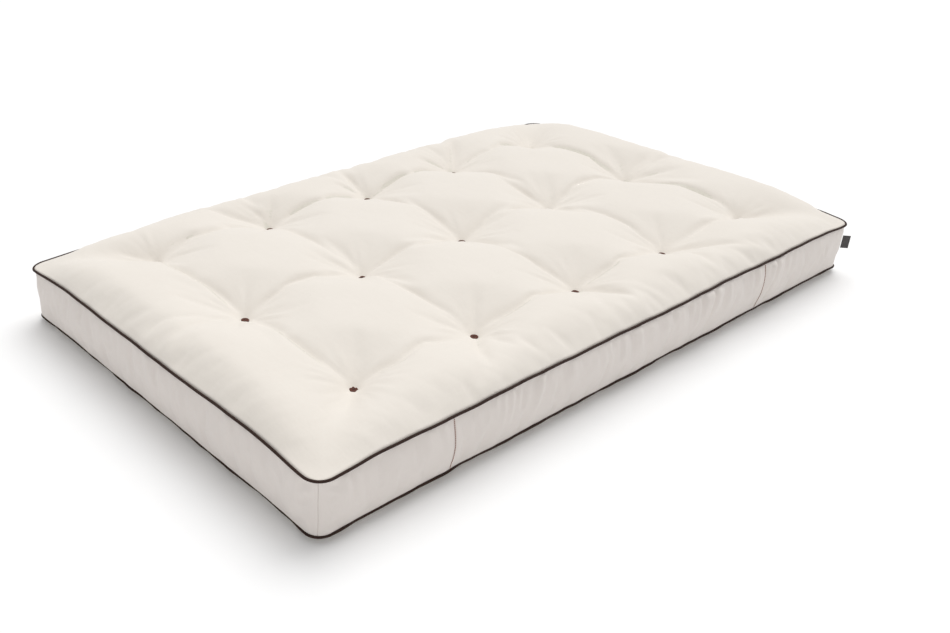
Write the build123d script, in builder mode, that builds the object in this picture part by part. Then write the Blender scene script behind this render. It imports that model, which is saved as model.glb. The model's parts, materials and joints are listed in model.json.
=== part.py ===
from build123d import *
import os
from dataclasses import dataclass
from math import cos, radians, sin

# Futon mattress, millimetres. +X runs along the length, +Z is up, and the origin is at the middle of
# the underside. The long side at -Y is the front. The label tab is in the corner seam at (+X, -Y).

# Overall size, over the two lines of piping and over the crowns of the two faces
length = 2000.0
width = 1200.0
thickness = 220.0
corner_radius = 45.0

# Cover cloth
fabric = 2.0
crown_top = 60.0
crown_bottom = 20.0
boxing_bulge = 6.0
fit_gap = 0.3
crown_steps = 4

# Piping: a round sleeve with a filler cord, and the seam flange that the panels are sewn to
piping_diameter = 6.0
filler_diameter = 3.0
filler_gap = 0.1
flange_width = 10.0
flange_thickness = 1.2

# Upright seams of the front long side, as distances from the middle of the length.
# The back long side has the same seams turned half a turn about Z.
seam_left = -640.0
seam_right = 530.0
seam_trim_width = 3.0
seam_trim_thickness = 0.8

# Tufts: how far the outermost ones stand in from the ends and from the sides
tuft_columns = 5
tuft_rows = 3
tuft_margin_end = 270.0
tuft_margin_side = 210.0
tuft_cord_diameter = 3.0
tuft_hole_gap = 0.5
button_diameter = 21.0
button_thickness = 4.0
button_edge = 1.2
button_dish_diameter = 12.0
button_dish_depth = 0.8
button_seat_gap = 2.5

# Core: a coir sheet between two latex sheets, with cotton batting filling both crowns
coir_thickness = 25.0
latex_thickness = 25.0

# Label tab: a folded woven tape that stands out of the corner seam and flips either way
label_height = 40.0
label_reach = 22.0
label_thickness = 1.6
label_clearance = 1.0

# Worked out from the sizes above
top_rim = thickness - crown_top
bottom_rim = crown_bottom
middle_level = (top_rim + bottom_rim) / 2
rim_gap = flange_thickness / 2
rim_inset = piping_diameter + fit_gap
rim_radius = corner_radius - rim_inset
core_inset = piping_diameter / 2 + flange_width + fit_gap
core_radius = corner_radius - core_inset
corner_x = length / 2 - corner_radius
corner_y = width / 2 - corner_radius
tuft_pitch_x = (length - 2 * tuft_margin_end) / (tuft_columns - 1)
tuft_pitch_y = (width - 2 * tuft_margin_side) / (tuft_rows - 1)
tuft_hole_radius = tuft_cord_diameter / 2 + tuft_hole_gap
seat_radius = button_diameter / 2 + button_seat_gap


@dataclass
class Face:
    """One padded face: its rim plane looks outwards, and every size is measured from that plane."""

    rim: Plane
    crown: float
    crown_run: float
    seat_depth: float
    dimple_radius: float

    @property
    def seat(self):
        """Height of the button's seat above the rim plane; it is below the rim when negative."""
        return self.crown - self.seat_depth


top_face = Face(
    rim=Plane(origin=(0, 0, top_rim), x_dir=(1, 0, 0), z_dir=(0, 0, 1)),
    crown=crown_top,
    crown_run=150.0,
    seat_depth=68.0,
    dimple_radius=95.0,
)
bottom_face = Face(
    rim=Plane(origin=(0, 0, bottom_rim), x_dir=(1, 0, 0), z_dir=(0, 0, -1)),
    crown=crown_bottom,
    crown_run=60.0,
    seat_depth=12.0,
    dimple_radius=40.0,
)

# The core sheets are stacked about the middle of the room between the two button seats
seat_top = top_rim + top_face.seat
seat_bottom = bottom_rim - bottom_face.seat
stack_height = coir_thickness + 2 * latex_thickness
stack_bottom = (seat_top + seat_bottom - stack_height) / 2
stack_top = stack_bottom + stack_height

os.makedirs("parts", exist_ok=True)


def save(piece, name):
    """Labels a finished piece and writes its STEP file."""
    piece.label = name
    export_step(piece, f"parts/{name}.step")


def crowned_block(face, drop, floor):
    """Everything under one face's cover, `drop` below its outside, down to `floor` below the rim.

    The edge rises from the rim to the crown as a quarter of an ellipse, in flat bands.
    """
    overshoot = fabric
    slope = (face.dimple_radius - seat_radius) / face.seat_depth
    with BuildPart(face.rim) as block:
        for step in range(crown_steps + 1):
            turn = radians(90 * step / crown_steps)
            rise = face.crown * sin(turn)
            run = face.crown_run * (1 - cos(turn))
            inset = rim_inset + run
            with BuildSketch(face.rim.offset(rise - drop)):
                RectangleRounded(length - 2 * inset, width - 2 * inset, rim_radius + run)
        loft(ruled=True)
        split(bisect_by=face.rim.offset(rim_gap), keep=Keep.TOP)
        with BuildSketch(face.rim.offset(rim_gap)):
            RectangleRounded(length - 2 * core_inset, width - 2 * core_inset, core_radius)
        extrude(amount=-(floor + rim_gap))
        with Locations((0, 0, face.seat - drop)):
            with GridLocations(tuft_pitch_x, tuft_pitch_y, tuft_columns, tuft_rows):
                Cone(
                    seat_radius,
                    face.dimple_radius + overshoot * slope,
                    face.seat_depth + overshoot,
                    align=(Align.CENTER, Align.CENTER, Align.MIN),
                    mode=Mode.SUBTRACT,
                )
                Cylinder(tuft_hole_radius, 2 * thickness, mode=Mode.SUBTRACT)
    return block.part


def cover_panel(face):
    """One face's cover: the outside of the face less everything one cloth thickness under it."""
    floor = fabric - face.seat
    outside = crowned_block(face, 0, max(floor, fabric) + fabric)
    inside = crowned_block(face, fabric, max(floor, fabric) + 2 * fabric)
    with BuildPart() as panel:
        add(outside)
        add(inside, mode=Mode.SUBTRACT)
    return panel.part


def boxing_ring(outset, wall):
    """The whole upright band between the pipings, bowed outwards at its middle.

    Its outside stands `outset` proud of the cloth's outside, and `wall` is its thickness.
    """
    levels = (
        (bottom_rim + rim_gap, 0),
        (middle_level, boxing_bulge),
        (top_rim - rim_gap, 0),
    )
    with BuildPart() as ring:
        for skin, mode in ((outset, Mode.ADD), (outset - wall, Mode.SUBTRACT)):
            for level, bulge in levels:
                grow = bulge + skin - rim_inset
                with BuildSketch(Plane.XY.offset(level)):
                    RectangleRounded(length + 2 * grow, width + 2 * grow, corner_radius + grow)
            loft(mode=mode)
    return ring.part


def cut_ring(ring, corners, low, high):
    """The stretch of an upright ring that stands inside a plan outline, between two levels."""
    with BuildPart() as stretch:
        add(ring)
        with BuildSketch(Plane.XY.offset(low)):
            with BuildLine():
                Polyline(*corners, close=True)
            make_face()
        extrude(amount=high - low, mode=Mode.INTERSECT)
    return stretch.part


def end_outline(side):
    """Plan outline of a short end's strip, from one corner seam to the other; side is -1 or 1."""
    near, far = side * corner_x, side * (corner_x + 2 * corner_radius)
    reach = corner_y + 2 * corner_radius
    return ((near, -corner_y), (far, -reach), (far, reach), (near, corner_y))


def side_outline(start, finish, side):
    """Plan outline of a long side's strip between two seams; side is -1 for the front."""
    near, far = side * corner_y, side * (corner_y + 2 * corner_radius)
    flare_start = 2 * corner_radius if start == -corner_x else 0
    flare_finish = 2 * corner_radius if finish == corner_x else 0
    return ((start, near), (start - flare_start, far), (finish + flare_finish, far), (finish, near))


def piping_path(level):
    """The closed line that the piping's middle follows."""
    across = piping_diameter
    with BuildSketch(Plane.XY.offset(level)) as outline:
        RectangleRounded(length - across, width - across, corner_radius - across / 2)
    return outline.wire()


def round_ring(level, diameter):
    """A round section carried right round the mattress at one level."""
    start = Plane(origin=(0, -(width - piping_diameter) / 2, level), x_dir=(0, 1, 0), z_dir=(1, 0, 0))
    with BuildPart() as ring:
        with BuildSketch(start):
            Circle(diameter / 2)
        sweep(path=piping_path(level))
    return ring.part


def piping_sleeve(level):
    """The bias sleeve: a tube with its seam flange, bored for the filler cord."""
    tube = round_ring(level, piping_diameter)
    bore = round_ring(level, filler_diameter + 2 * filler_gap)
    with BuildPart() as sleeve:
        add(tube)
        with BuildSketch(Plane.XY.offset(level)):
            across = piping_diameter
            RectangleRounded(length - across, width - across, corner_radius - across / 2)
            inset = piping_diameter / 2 + flange_width
            RectangleRounded(length - 2 * inset, width - 2 * inset, corner_radius - inset, mode=Mode.SUBTRACT)
        extrude(amount=rim_gap, both=True)
        add(bore, mode=Mode.SUBTRACT)
    return sleeve.part


def core_sheet(low, high):
    """One flat sheet of the core, with a hole for each tuft cord."""
    with BuildPart() as sheet:
        with BuildSketch(Plane.XY.offset(low)):
            RectangleRounded(length - 2 * core_inset, width - 2 * core_inset, core_radius)
            with GridLocations(tuft_pitch_x, tuft_pitch_y, tuft_columns, tuft_rows):
                Circle(tuft_hole_radius, mode=Mode.SUBTRACT)
        extrude(amount=high - low)
    return sheet.part


def buttons(face):
    """The fifteen discs of one face, each dished in the middle where its cord pulls."""
    with BuildPart(face.rim) as discs:
        with Locations((0, 0, face.seat)):
            with GridLocations(tuft_pitch_x, tuft_pitch_y, tuft_columns, tuft_rows):
                Cylinder(
                    button_diameter / 2,
                    button_thickness,
                    align=(Align.CENTER, Align.CENTER, Align.MIN),
                )
        rims = discs.edges().filter_by(GeomType.CIRCLE)
        fillet(rims, button_edge)
        with Locations((0, 0, face.seat + button_thickness)):
            with GridLocations(tuft_pitch_x, tuft_pitch_y, tuft_columns, tuft_rows):
                Cylinder(button_dish_diameter / 2, 2 * button_dish_depth, mode=Mode.SUBTRACT)
    return discs.part


# Cover panels and the batting under them
save(cover_panel(top_face), "top_panel")
save(cover_panel(bottom_face), "bottom_panel")
save(crowned_block(top_face, fabric + fit_gap, top_rim - stack_top), "cotton_batting_top")
save(crowned_block(bottom_face, fabric + fit_gap, stack_bottom - bottom_rim), "cotton_batting_bottom")

# Core sheets, from the bottom up
save(core_sheet(stack_bottom, stack_bottom + latex_thickness), "latex_layer_bottom")
save(core_sheet(stack_bottom + latex_thickness, stack_top - latex_thickness), "coir_core")
save(core_sheet(stack_top - latex_thickness, stack_top), "latex_layer_top")

# Boxing strips
boxing = boxing_ring(0, fabric)
boxing_outlines = {
    "boxing_left_end": end_outline(-1),
    "boxing_right_end": end_outline(1),
    "boxing_front_left": side_outline(-corner_x, seam_left, -1),
    "boxing_front_middle": side_outline(seam_left, seam_right, -1),
    "boxing_front_right": side_outline(seam_right, corner_x, -1),
    "boxing_back_left": side_outline(-corner_x, -seam_right, 1),
    "boxing_back_middle": side_outline(-seam_right, -seam_left, 1),
    "boxing_back_right": side_outline(-seam_left, corner_x, 1),
}
for strip_name, outline in boxing_outlines.items():
    save(cut_ring(boxing, outline, bottom_rim, top_rim), strip_name)

# The dark thread line that covers each upright seam of the long sides, from one piping to the other
trim_end_gap = piping_diameter / 2 + fit_gap
trim_low = bottom_rim + trim_end_gap
trim_high = top_rim - trim_end_gap
trim_ring = boxing_ring(seam_trim_thickness, seam_trim_thickness)
seams = {
    "seam_trim_front_left": (seam_left, -1),
    "seam_trim_front_right": (seam_right, -1),
    "seam_trim_back_left": (-seam_right, 1),
    "seam_trim_back_right": (-seam_left, 1),
}
for trim_name, (seam, side) in seams.items():
    half = seam_trim_width / 2
    outline = side_outline(seam - half, seam + half, side)
    save(cut_ring(trim_ring, outline, trim_low, trim_high), trim_name)

# Piping
for edge, level in (("top", top_rim), ("bottom", bottom_rim)):
    save(piping_sleeve(level), f"{edge}_piping_sleeve")
    save(round_ring(level, filler_diameter), f"{edge}_piping_filler")

# Tufts
save(buttons(top_face), "tuft_buttons_top")
save(buttons(bottom_face), "tuft_buttons_bottom")
with BuildPart() as tuft_cords:
    with BuildSketch(Plane.XY.offset(seat_bottom)):
        with GridLocations(tuft_pitch_x, tuft_pitch_y, tuft_columns, tuft_rows):
            Circle(tuft_cord_diameter / 2)
    extrude(amount=seat_top - seat_bottom)
save(tuft_cords.part, "tuft_cords")

# The label tab stands out from the middle of the corner arc, along its diagonal
label_axis = corner_radius - rim_inset + boxing_bulge + label_clearance
label_root = Plane(
    origin=(corner_x, -corner_y, middle_level - label_height / 2),
    x_dir=(1, -1, 0),
    z_dir=(0, 0, 1),
)
with BuildPart() as label_tab:
    with BuildSketch(label_root):
        with Locations((label_axis + label_reach / 2, 0)):
            SlotOverall(label_reach, label_thickness)
    extrude(amount=label_height)
save(label_tab.part, "label_tab")

diagonal = label_axis / 2**0.5
print("label hinge at", round(corner_x + diagonal, 3), round(-corner_y - diagonal, 3), middle_level)
print("levels: seats", seat_bottom, seat_top, "stack", stack_bottom, stack_top)
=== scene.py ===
# %% [markdown]
# # A tufted futon mattress
# The real thing is a cotton cover sewn from two big panels and a band of upright strips, with dark piping
# round both edges. Cords run down through the filling at fifteen places and pull the cover into dimples.
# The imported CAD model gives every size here, and this script gives the cloth its life.
#
# First the frame is loaded. Everything is in metres, +Z is up, and the mattress lies on z = 0.

# %% Load the frame
import json
import math
import bpy
import mathutils
import numpy as np
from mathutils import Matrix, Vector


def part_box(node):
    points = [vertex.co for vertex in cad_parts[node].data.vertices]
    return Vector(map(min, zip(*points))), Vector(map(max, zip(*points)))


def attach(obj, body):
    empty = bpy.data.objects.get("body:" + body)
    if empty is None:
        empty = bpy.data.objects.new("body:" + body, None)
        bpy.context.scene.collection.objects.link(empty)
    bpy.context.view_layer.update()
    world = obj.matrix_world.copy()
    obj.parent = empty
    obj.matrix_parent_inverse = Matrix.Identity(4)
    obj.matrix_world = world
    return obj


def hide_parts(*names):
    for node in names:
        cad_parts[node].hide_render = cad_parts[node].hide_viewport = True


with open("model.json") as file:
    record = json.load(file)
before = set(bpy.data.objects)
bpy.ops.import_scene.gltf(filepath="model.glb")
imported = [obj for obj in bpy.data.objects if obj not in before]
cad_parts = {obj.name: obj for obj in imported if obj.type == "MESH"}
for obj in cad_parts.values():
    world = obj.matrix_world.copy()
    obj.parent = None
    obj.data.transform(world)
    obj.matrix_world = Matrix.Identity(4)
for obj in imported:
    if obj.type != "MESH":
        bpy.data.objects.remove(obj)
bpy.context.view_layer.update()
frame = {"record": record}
scene = bpy.context.scene

# %% [markdown]
# ## Sizes that every piece shares
# A learner could type these numbers in, but then they would drift away from the model. Each one is read
# from the box of a CAD node instead: the piping rings give the outline and the two seam levels, and the
# tuft cords give the grid of tufts.

# %% Read the shared sizes
def box(node):
    """A node's lowest and highest corner as two arrays."""
    low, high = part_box(node)
    return np.array(low), np.array(high)


def middle(node, axis):
    """The middle of a node's box along one axis."""
    low, high = box(node)
    return (low[axis] + high[axis]) / 2


TUFT_COLUMNS, TUFT_ROWS = 5, 3
FLANGE = 0.007
CORNER = 0.042
CLOTH = 0.0016
CORD_RADIUS = 0.0015
ring_low, ring_high = box("top_piping_sleeve")
PIPING_RADIUS = (ring_high[2] - ring_low[2]) / 2
HALF_LENGTH = ring_high[0] - PIPING_RADIUS
HALF_WIDTH = ring_high[1] - PIPING_RADIUS
TOP_SEAM = middle("top_piping_sleeve", 2)
BOTTOM_SEAM = middle("bottom_piping_sleeve", 2)
cord_low, cord_high = box("tuft_cords")
button_low, button_high = box("tuft_buttons_top")
TUFT_X = np.linspace(cord_low[0] + CORD_RADIUS, cord_high[0] - CORD_RADIUS, TUFT_COLUMNS)
TUFT_Y = np.linspace(cord_low[1] + CORD_RADIUS, cord_high[1] - CORD_RADIUS, TUFT_ROWS)
BUTTON_RADIUS = button_high[0] - TUFT_X[-1]
BUTTON_HEIGHT = button_high[2] - button_low[2]
SEAT_TOP = button_low[2]
SEAT_BOTTOM = box("tuft_buttons_bottom")[1][2]
SEAM_LEFT = middle("seam_trim_front_left", 0)
SEAM_RIGHT = middle("seam_trim_front_right", 0)
FILLING_TOP = box("latex_layer_top")[1][2]
FILLING_BOTTOM = box("latex_layer_bottom")[0][2]
CROWN = box("top_panel")[1][2] - TOP_SEAM
print("seam levels", BOTTOM_SEAM, TOP_SEAM, "button radius", BUTTON_RADIUS)
print("side seams at", SEAM_LEFT, SEAM_RIGHT)

# %% [markdown]
# ## The camera
# A mattress is shown best from above one corner, with a normal lens. The camera stands outside the near
# corner and is turned, tipped and rolled by plain angles, which is easier to adjust than a constraint.

# %% Place the camera
LENS_MM = 39.45
LENS_SHIFT = 0.163
CAMERA_PLACE = (-1.964, -1.774, 1.321)
CAMERA_YAW, CAMERA_PITCH, CAMERA_ROLL = (math.radians(a) for a in (50.5, 28.2, 0.6))


def add_camera():
    """A camera whose three axes are worked out from its yaw, pitch and roll."""
    look = np.array([
        math.cos(CAMERA_PITCH) * math.cos(CAMERA_YAW),
        math.cos(CAMERA_PITCH) * math.sin(CAMERA_YAW),
        -math.sin(CAMERA_PITCH),
    ])
    level_right = np.array([math.sin(CAMERA_YAW), -math.cos(CAMERA_YAW), 0.0])
    level_up = np.cross(level_right, look)
    right = math.cos(CAMERA_ROLL) * level_right + math.sin(CAMERA_ROLL) * level_up
    up = np.cross(right, look)
    data = bpy.data.cameras.new("camera")
    data.lens = LENS_MM
    data.shift_x = LENS_SHIFT
    camera = bpy.data.objects.new("camera", data)
    scene.collection.objects.link(camera)
    turn = np.eye(4)
    turn[:3, 0], turn[:3, 1], turn[:3, 2], turn[:3, 3] = right, up, -look, CAMERA_PLACE
    camera.matrix_world = mathutils.Matrix(turn.tolist())
    scene.camera = camera
    return camera


add_camera()
print("camera at", CAMERA_PLACE)

# %% [markdown]
# ## Shader maths that reads like maths
# A material is a graph of nodes. Written out one by one the graph is hard to follow, so a small class
# wraps a socket and turns `+`, `-` and `*` into Math nodes. Every other node comes from one method.

# %% The socket wrapper and the shader builder
class Wire:
    """A number socket in a shader; sums on it add Math nodes."""

    def __init__(self, shader, socket):
        self.shader, self.socket = shader, socket

    def _math(self, operation, first, second=0.0):
        return self.shader.node("ShaderNodeMath", {"operation": operation}, {0: first, 1: second})

    def __add__(self, other):
        return self._math("ADD", self, other)

    __radd__ = __add__

    def __sub__(self, other):
        return self._math("SUBTRACT", self, other)

    def __mul__(self, other):
        return self._math("MULTIPLY", self, other)

    __rmul__ = __mul__

    def sine(self):
        return self._math("SINE", self)

    def over(self, edge):
        return self._math("GREATER_THAN", self, edge)

    def at_most(self, top):
        return self._math("MINIMUM", self, top)

    def at_least(self, bottom):
        return self._math("MAXIMUM", self, bottom)


class Shader:
    """One material in the making."""

    def __init__(self, name):
        self.material = bpy.data.materials.new(name)
        self.material.use_nodes = True
        self.tree = self.material.node_tree
        self.principled = self.tree.nodes["Principled BSDF"]

    def node(self, kind, settings=None, inputs=None, output=0):
        """Adds a node, sets it up, fills its sockets and returns one of its outputs."""
        made = self.tree.nodes.new(kind)
        for name, value in (settings or {}).items():
            setattr(made, name, value)
        for name, value in (inputs or {}).items():
            if isinstance(value, Wire):
                self.tree.links.new(value.socket, made.inputs[name])
            else:
                made.inputs[name].default_value = value
        return Wire(self, made.outputs[output])

    def set(self, **values):
        """Sets or links sockets of the Principled shader; an underscore in a name is a space."""
        for name, value in values.items():
            socket = self.principled.inputs[name.replace("_", " ")]
            if isinstance(value, Wire):
                self.tree.links.new(value.socket, socket)
            else:
                socket.default_value = value

    def place(self, source, size):
        """Coordinates from "Object" or "UV", scaled along each axis."""
        raw = self.node("ShaderNodeTexCoord", output=source)
        return self.node("ShaderNodeMapping", None, {"Vector": raw, "Scale": size})

    def split(self, vector):
        """The two first numbers of a vector."""
        return [self.node("ShaderNodeSeparateXYZ", None, {0: vector}, axis) for axis in ("X", "Y")]

    def noise(self, vector, scale, detail=2.0, roughness=0.5):
        """Smooth noise, about 0 to 1."""
        sockets = {"Vector": vector, "Scale": scale, "Detail": detail, "Roughness": roughness}
        return self.node("ShaderNodeTexNoise", {"noise_dimensions": "3D"}, sockets)

    def blend(self, share, first, second):
        """A colour between two colours."""
        sockets = {"Factor": share, 6: first, 7: second}
        return self.node("ShaderNodeMix", {"data_type": "RGBA"}, sockets, 2)

    def bump(self, height, distance, strength=1.0, under=None):
        """A Normal from a height; under is a bump that it adds to."""
        sockets = {"Height": height, "Distance": distance, "Strength": strength}
        if under is not None:
            sockets["Normal"] = under
        return self.node("ShaderNodeBump", None, sockets)


def rgb(red, green, blue):
    """A colour with full alpha."""
    return (red, green, blue, 1.0)

# %% [markdown]
# ## Unbleached cotton
# The cover is a plain, matt, cream twill. Up close it has fine slanting ribs, thicker yarns here and there
# and tiny brown specks of seed husk. The pattern is laid out on the cloth's own UV map, in metres of
# cloth, so that it runs with the folds. Only the base colour, the roughness and the bump change over it.

# %% Cotton cover material
TWILL_PITCH = 0.0011


def cotton(name, light, dark, creases=0.5):
    """Cream cotton twill: ribs, uneven yarns, faint stains and seed specks."""
    s = Shader(name)
    cloth = s.place("UV", (1, 1, 1))
    u, v = s.split(cloth)
    ribs = ((u + v) * (2 * math.pi / TWILL_PITCH)).sine() * 0.5 + 0.5
    yarns = ((u - v) * (2 * math.pi / (3 * TWILL_PITCH))).sine() * 0.5 + 0.5
    slubs = s.noise(s.place("UV", (30, 420, 1)), 1.0, 3.0)
    cross_slubs = s.noise(s.place("UV", (420, 30, 1)), 1.0, 3.0)
    patches = s.noise(cloth, 3.2, 4.0, 0.6)
    fuzz = s.noise(cloth, 900.0, 2.0)
    specks = s.noise(cloth, 160.0, 1.0).over(0.83)
    shade = (patches * 0.5 + slubs * 0.2 + cross_slubs * 0.2 + fuzz * 0.1).at_most(1.0)
    body = s.blend(shade, rgb(*dark), rgb(*light))
    husk = rgb(dark[0] * 0.72, dark[1] * 0.6, dark[2] * 0.45)
    s.set(Base_Color=s.blend(specks * 0.45, body, husk))
    s.set(Roughness=0.86 + 0.1 * fuzz)
    s.set(Sheen_Weight=0.25, Sheen_Roughness=0.5, Specular_IOR_Level=0.25)
    weave = s.bump(ribs * 0.6 + yarns * 0.2 + fuzz * 0.4, 0.00012, 0.5)
    wrinkle = s.noise(s.place("UV", (26, 9, 1)), 1.0, 4.0, 0.55)
    cross_wrinkle = s.noise(s.place("UV", (9, 26, 1)), 1.0, 4.0, 0.55)
    soft = s.bump(slubs + cross_slubs, 0.00025, 0.5, weave)
    s.set(Normal=s.bump(wrinkle + cross_wrinkle, 0.0016, creases, soft))
    return s.material


COVER = cotton("cover_cotton", (0.86, 0.81, 0.745), (0.79, 0.735, 0.665), 0.8)
BOXING = cotton("boxing_cotton", (0.83, 0.775, 0.735), (0.76, 0.70, 0.655), 0.9)
print("cotton ready")

# %% [markdown]
# ## Piping cloth, felt and thread
# The piping is dark brown cotton cut on the bias, so its yarns cross the tube at a slant. The tuft buttons
# are pressed wool felt, which has no weave, only matted fibres. Threads show their twist as slanting lines.

# %% Dark cloths and threads
def bias_cloth(name, light, dark, pitch):
    """Plain weave cut on the slant, for a tube whose UV runs along and around it."""
    s = Shader(name)
    u, v = s.split(s.place("UV", (1, 1, 1)))
    one_way = ((u + v) * (2 * math.pi / pitch)).sine()
    other_way = ((u - v) * (2 * math.pi / pitch)).sine()
    weave = one_way * other_way * 0.5 + 0.5
    wear = s.noise(s.place("UV", (60, 60, 1)), 1.0, 4.0, 0.6)
    lint = s.noise(s.place("UV", (900, 900, 1)), 1.0, 2.0)
    shade = (weave * 0.35 + wear * 0.5 + lint * 0.15).at_most(1.0)
    s.set(Base_Color=s.blend(shade, rgb(*dark), rgb(*light)))
    s.set(Roughness=0.78 + 0.15 * lint, Sheen_Weight=0.03, Specular_IOR_Level=0.2)
    s.set(Normal=s.bump(weave + lint * 0.5, 0.00025, 0.8))
    return s.material


def felt(name, light, dark):
    """Matted wool: fibres at every size and no direction."""
    s = Shader(name)
    spot = s.place("Object", (1, 1, 1))
    fibres = s.noise(spot, 1400.0, 6.0, 0.7)
    clumps = s.noise(spot, 260.0, 3.0)
    s.set(Base_Color=s.blend(fibres * 0.6 + clumps * 0.4, rgb(*dark), rgb(*light)))
    s.set(Roughness=0.82 + 0.16 * fibres, Sheen_Weight=0.08, Sheen_Roughness=0.4, Specular_IOR_Level=0.2)
    s.set(Normal=s.bump(fibres + clumps, 0.0004, 0.9))
    return s.material


def twisted(name, light, dark, turns_per_metre):
    """Thread or cord: bright and dark plies that wind round it, from its UV."""
    s = Shader(name)
    u, v = s.split(s.place("UV", (1, 1, 1)))
    plies = ((u * turns_per_metre + v * 3) * (2 * math.pi)).sine() * 0.5 + 0.5
    fuzz = s.noise(s.place("Object", (1, 1, 1)), 1800.0, 3.0)
    s.set(Base_Color=s.blend(plies * 0.7 + fuzz * 0.3, rgb(*dark), rgb(*light)))
    s.set(Roughness=0.6 + 0.3 * fuzz, Sheen_Weight=0.15)
    s.set(Normal=s.bump(plies + fuzz * 0.4, 0.0003, 0.8))
    return s.material


PIPING = bias_cloth("piping_cotton", (0.060, 0.031, 0.023), (0.020, 0.009, 0.007), 0.0009)
FELT = felt("button_felt", (0.170, 0.066, 0.046), (0.060, 0.020, 0.014))
# The seam thread's reddish brown is partly its own colour and partly painted shade for the slit of each
# boxing seam.
SEAM_THREAD_AND_SHADE = twisted("seam_thread", (0.42, 0.17, 0.10), (0.17, 0.06, 0.04), 900)
BUTTON_THREAD = twisted("button_thread", (0.12, 0.06, 0.045), (0.04, 0.02, 0.015), 900)
FILLER = twisted("piping_cord", (0.84, 0.79, 0.70), (0.62, 0.56, 0.46), 110)
print("dark cloths ready")

# %% [markdown]
# ## The outline and its small waves
# A sewn edge is never a ruled line. The piping drops a little at each corner, where the filling is thin,
# and wanders by a few millimetres between. One function says how far the edge has moved at any place
# round the outline, so the piping, the panels and the boxing all move together and stay sewn.

# %% The wandering seam line
TOP_DROP = 0.010
BOTTOM_DROP = 0.004
EDGE_WANDER = 0.0035
TOP_WAVE, BOTTOM_WAVE = 0.0028, 0.0022
TOP_DRAWN_IN, BOTTOM_DRAWN_IN = 0.002, 0.007
RIM_INSET = PIPING_RADIUS * 0.8
RIM_LIFT = CLOTH * 0.7


def waves(x, y, seed, longest):
    """A smooth wander between about -1 and 1 that depends only on the place."""
    dice = np.random.default_rng(seed)
    total = np.zeros_like(np.asarray(x, float))
    for octave in range(5):
        turns = 2 * np.pi * 1.55**octave / longest
        phase = dice.uniform(0, 2 * np.pi, 2)
        total = total + (np.sin(turns * x + phase[0]) + np.sin(turns * y + phase[1])) / 1.3**octave
    return total * 0.27


def corner_closeness(x, y, reach):
    """1 at a corner of the outline, falling to 0 beyond reach."""
    gap = np.hypot(HALF_LENGTH - np.abs(x), HALF_WIDTH - np.abs(y))
    return np.exp(-((gap / reach) ** 2))


def outward(x, y):
    """Unit direction pointing out of the rounded outline at points on it."""
    px = np.clip(np.abs(x) - (HALF_LENGTH - CORNER), 0, None) * np.sign(x)
    py = np.clip(np.abs(y) - (HALF_WIDTH - CORNER), 0, None) * np.sign(y)
    size = np.maximum(np.hypot(px, py), 1e-9)
    return px / size, py / size


def edge_line(x, y, at_top, inset=0.0):
    """Where a seam line really runs, for ideal points on the outline."""
    x, y = np.asarray(x, float), np.asarray(y, float)
    nx, ny = outward(x, y)
    if at_top:
        sideways = EDGE_WANDER * waves(x, y, 3, 0.62) - TOP_DRAWN_IN
        level = TOP_SEAM + TOP_WAVE * waves(x, y, 5, 0.62) - TOP_DROP * corner_closeness(x, y, 0.13)
    else:
        sideways = EDGE_WANDER * waves(x, y, 8, 0.34) - BOTTOM_DRAWN_IN
        level = BOTTOM_SEAM + BOTTOM_WAVE * waves(x, y, 9, 0.4) - BOTTOM_DROP * corner_closeness(x, y, 0.1)
    sideways = sideways - inset
    return np.stack([x + nx * sideways, y + ny * sideways, level], -1)


# %% [markdown]
# ## Letting cloth find its own shape
# The folds of a tufted cover are too tangled to draw by hand, so the cloth solver finds the large ones.
# A piece of cover starts flat, a few percent larger than it ends up, as it was cut. A shape key then
# carries its seams and its tufts to where they are sewn, and the points between are pushed out by the
# filling and left to settle. The solver's rest lengths are those of the flat cut, and that is what makes
# real folds.

# %% Meshes and the cloth run
def grid_faces(rows, columns, upward=True):
    """Quads of a grid whose points are numbered row by row."""
    faces = []
    for r in range(rows - 1):
        for c in range(columns - 1):
            corner = r * columns + c
            face = (corner + columns, corner + columns + 1, corner + 1, corner)
            faces.append(face if upward else face[::-1])
    return faces


def mesh_object(name, points, faces):
    """A mesh object from an array of points and a list of faces."""
    mesh = bpy.data.meshes.new(name)
    mesh.from_pydata([tuple(p) for p in points], [], faces)
    mesh.update()
    obj = bpy.data.objects.new(name, mesh)
    scene.collection.objects.link(obj)
    return obj


def finished(obj, material=None):
    """The same object, smoothly shaded and, if a material is given, with it."""
    mesh = obj.data
    mesh.polygons.foreach_set("use_smooth", np.ones(len(mesh.polygons), bool))
    if material is not None:
        mesh.materials.append(material)
    return obj


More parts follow.
